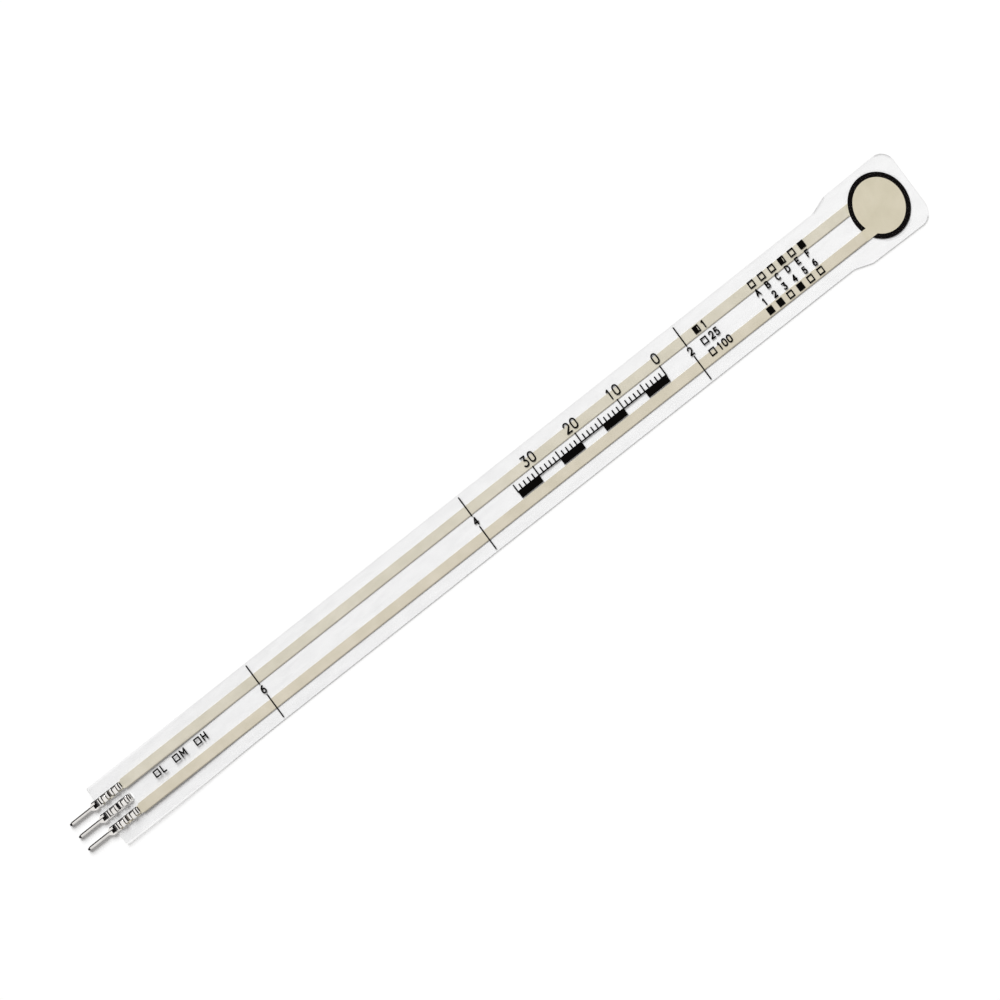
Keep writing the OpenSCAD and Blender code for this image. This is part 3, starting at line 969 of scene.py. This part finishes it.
class SENSOR_OT_silver(bpy.types.Operator):
    """Give the silver disks and leads their finish"""

    bl_idname = "sensor.silver"
    bl_label = "Silver leads"

    def execute(self, context):
        finish = context.scene.sensor_silver
        tones = {"lower_electrode": finish.lower_tone, "upper_electrode": finish.upper_tone}
        for name, tone in tones.items():
            dress(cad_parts[name], silver_material(name, tone, finish))
        return {"FINISHED"}


class SENSOR_OT_ink(bpy.types.Operator):
    """Give the pressure-sensitive ink its finish"""

    bl_idname = "sensor.ink"
    bl_label = "Pressure ink"

    def execute(self, context):
        finish = context.scene.sensor_ink
        ink = black_material("Pressure ink", finish.black, finish.fleck, finish)
        for name in INKS:
            dress(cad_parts[name], ink)
        return {"FINISHED"}


class SENSOR_OT_contacts(bpy.types.Operator):
    """Give the crimped contacts their tin plate and rounded edges"""

    bl_idname = "sensor.contacts"
    bl_label = "Contacts"

    def execute(self, context):
        finish = context.scene.sensor_tin
        tin = tin_material(finish)
        for name in CONTACTS:
            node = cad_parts[name]
            weld(node)
            rounding = node.modifiers.new("Rounding", "BEVEL")
            rounding.width = finish.bevel
            rounding.segments = 2
            rounding.limit_method = "ANGLE"
            rounding.angle_limit = finish.bevel_angle
            dress(node, tin)
        return {"FINISHED"}


class SENSOR_OT_print(bpy.types.Operator):
    """Give the printed marks and boxes their finish"""

    bl_idname = "sensor.print"
    bl_label = "Printed marks"

    def execute(self, context):
        finish = context.scene.sensor_ink
        black = black_material("Black print", finish.print_black, finish.print_thin, finish)
        for name in PRINTS:
            dress(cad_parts[name], black)
        return {"FINISHED"}


class SENSOR_OT_cut_numbers(bpy.types.Operator):
    """Print the numbers in the cut marks"""

    bl_idname = "sensor.cut_numbers"
    bl_label = "Cut mark numbers"

    def execute(self, context):
        sizes = context.scene.sensor_lettering
        words = []
        for text in CUT_NUMBERS:
            lo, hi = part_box("cut_mark_" + text)
            words.append((text, sizes.cut_height, (lo.x + hi.x) / 2, -sizes.cut_offset))
        print_words("cut_numbers", words)
        return {"FINISHED"}


class SENSOR_OT_batch_characters(bpy.types.Operator):
    """Print the letters and numbers between the two rows of batch boxes"""

    bl_idname = "sensor.batch_characters"
    bl_label = "Batch characters"

    upper: StringProperty(
        name="Letters", description="Letters from the pins to the head", default="ABCDEF"
    )
    lower: StringProperty(
        name="Numbers", description="Numbers from the pins to the head", default="123456"
    )

    def execute(self, context):
        sizes = context.scene.sensor_lettering
        middle = (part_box("batch_boxes_upper")[0].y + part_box("batch_boxes_lower")[1].y) / 2
        for name, node, text, side in (
            ("batch_letters", "batch_boxes_upper", self.upper, -1),
            ("batch_numbers", "batch_boxes_lower", self.lower, 1),
        ):
            y = middle + side * sizes.batch_offset
            centres = reversed(box_centres(node))
            words = [(c, sizes.batch_height, box[0], y) for c, box in zip(text, centres)]
            print_words(name, words)
        return {"FINISHED"}


class SENSOR_OT_range_numbers(bpy.types.Operator):
    """Print the numbers by the range boxes"""

    bl_idname = "sensor.range_numbers"
    bl_label = "Range numbers"

    def execute(self, context):
        sizes = context.scene.sensor_lettering
        words = words_beside("range_boxes", RANGE_NUMBERS, sizes.range_height, sizes.range_space)
        print_words("range_numbers", words)
        return {"FINISHED"}


class SENSOR_OT_grade_letters(bpy.types.Operator):
    """Print the letters by the grade boxes"""

    bl_idname = "sensor.grade_letters"
    bl_label = "Grade letters"

    def execute(self, context):
        sizes = context.scene.sensor_lettering
        words = words_beside("grade_boxes", GRADE_LETTERS, sizes.grade_height, sizes.grade_space)
        print_words("grade_letters", words)
        return {"FINISHED"}


class SENSOR_OT_scale_numbers(bpy.types.Operator):
    """Print plain numbers on the length scale"""

    bl_idname = "sensor.scale_numbers"
    bl_label = "Scale numbers"

    count: IntProperty(name="Count", description="How many numbers the scale has", default=4)
    step: IntProperty(name="Step", description="Millimetres between two numbers", default=10)

    def execute(self, context):
        sizes = context.scene.sensor_lettering
        lo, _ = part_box("length_scale")
        y = lo.y - sizes.scale_space - sizes.scale_height / 2
        marks = [i * self.step for i in range(self.count)]
        words = [(str(mark), sizes.scale_height, lo.x + mark * MM, y) for mark in marks]
        print_words("scale_numbers", words)
        return {"FINISHED"}


def seen_mask(tree):
    """1 where the camera sees a surface, also by a reflection or through glass."""
    path = add_node(tree, "ShaderNodeLightPath").outputs
    return any_of(
        tree, path["Is Camera Ray"], path["Is Glossy Ray"], path["Is Transmission Ray"]
    )


def towards(side, height):
    """The direction of a place at a compass angle and a height above the floor."""
    flat = math.cos(height)
    return Vector((-math.sin(side) * flat, -math.cos(side) * flat, math.sin(height)))


class SENSOR_OT_stage(bpy.types.Operator):
    """Set up the floor, the light and the camera"""

    bl_idname = "sensor.stage"
    bl_label = "Studio"

    def execute(self, context):
        scene, studio = context.scene, context.scene.sensor_studio
        self.add_floor(scene, studio)
        self.add_world(scene, studio)
        self.add_key(scene, studio)
        self.add_camera(scene, studio)
        scene.view_settings.view_transform = "Standard"
        scene.cycles.transparent_max_bounces = CLEAR_FACES
        return {"FINISHED"}

    def add_floor(self, scene, studio):
        half = studio.floor_half
        corners = [(-half, -half, 0), (half, -half, 0), (half, half, 0), (-half, half, 0)]
        mesh = bpy.data.meshes.new("floor")
        mesh.from_pydata(corners, [], [(0, 1, 2, 3)])
        floor = bpy.data.objects.new("floor", mesh)
        floor.location = (studio.aim_x, studio.aim_y, -studio.floor_gap)
        scene.collection.objects.link(floor)
        material, tree, shader = new_material("Pale floor")
        shader.inputs["Base Color"].default_value = rgba((studio.floor_white,) * 3)
        shader.inputs["Roughness"].default_value = studio.floor_rough
        shader.inputs["Specular IOR Level"].default_value = 0.0
        shader.inputs["Emission Strength"].default_value = studio.floor_glow
        glow = mixed(tree, seen_mask(tree), BLACK, WHITE)
        tree.links.new(glow, shader.inputs["Emission Color"])
        dress(floor, material)

    def add_world(self, scene, studio):
        scene.world = bpy.data.worlds.new("studio")
        scene.world.use_nodes = True
        tree = scene.world.node_tree
        tree.nodes.clear()
        inputs = {
            "Color": rgba(studio.fill_tint),
            "Strength": number_mix(tree, seen_mask(tree), studio.fill, 1.0),
        }
        sky = add_node(tree, "ShaderNodeBackground", inputs)
        add_node(tree, "ShaderNodeOutputWorld", {"Surface": sky.outputs["Background"]})

    def add_key(self, scene, studio):
        sun = bpy.data.lights.new("key", "SUN")
        sun.energy = studio.key_strength
        sun.color = studio.key_tint
        sun.angle = studio.key_size
        key = bpy.data.objects.new("key", sun)
        key.location = towards(studio.key_side, studio.key_height)
        key.rotation_euler = key.location.to_track_quat("Z", "Y").to_euler()
        scene.collection.objects.link(key)

    def add_camera(self, scene, studio):
        lens = bpy.data.cameras.new("camera")
        lens.lens = studio.lens
        lens.sensor_width = studio.film_width
        lens.clip_start = studio.distance * studio.near_share
        lens.clip_end = studio.distance * studio.far_share
        camera = bpy.data.objects.new("camera", lens)
        back = towards(studio.azimuth, studio.elevation)
        level = Vector((0, 0, 1)).cross(back).normalized()
        upward = back.cross(level)
        right = math.cos(studio.roll) * level + math.sin(studio.roll) * upward
        turn = Matrix((right, back.cross(right), back)).transposed().to_4x4()
        aim = Vector((studio.aim_x, studio.aim_y, 0))
        camera.matrix_world = Matrix.Translation(aim + back * studio.distance) @ turn
        scene.collection.objects.link(camera)
        scene.camera = camera


OPERATORS = (
    SENSOR_OT_films,
    SENSOR_OT_silver,
    SENSOR_OT_ink,
    SENSOR_OT_contacts,
    SENSOR_OT_print,
    SENSOR_OT_cut_numbers,
    SENSOR_OT_batch_characters,
    SENSOR_OT_range_numbers,
    SENSOR_OT_grade_letters,
    SENSOR_OT_scale_numbers,
    SENSOR_OT_stage,
)
GROUPS = {
    "sensor_film": FilmFinish,
    "sensor_silver": SilverFinish,
    "sensor_ink": InkFinish,
    "sensor_crimp": CrimpShade,
    "sensor_tin": TinFinish,
    "sensor_lettering": Lettering,
    "sensor_studio": Studio,
}


class SENSOR_PT_sidebar(bpy.types.Panel):
    """The sensor's sizes, finishes and steps"""

    bl_idname = "SENSOR_PT_sidebar"
    bl_label = "Force sensor"
    bl_space_type = "VIEW_3D"
    bl_region_type = "UI"
    bl_category = "Sensor"

    def draw(self, context):
        for name, group in GROUPS.items():
            box = self.layout.box()
            box.label(text=group.__doc__)
            held = getattr(context.scene, name)
            for key in group.__annotations__:
                box.prop(held, key)
        for operator in OPERATORS:
            self.layout.operator(operator.bl_idname)


CLASSES = (*GROUPS.values(), *OPERATORS, SENSOR_PT_sidebar)


def register():
    for cls in CLASSES:
        bpy.utils.register_class(cls)
    for name, group in GROUPS.items():
        setattr(bpy.types.Scene, name, PointerProperty(type=group))


def unregister():
    for name in GROUPS:
        delattr(bpy.types.Scene, name)
    for cls in reversed(CLASSES):
        bpy.utils.unregister_class(cls)


def main():
    register()
    for operator in OPERATORS:
        category, name = operator.bl_idname.split(".")
        getattr(getattr(bpy.ops, category), name)()


if __name__ == "__main__":
    main()
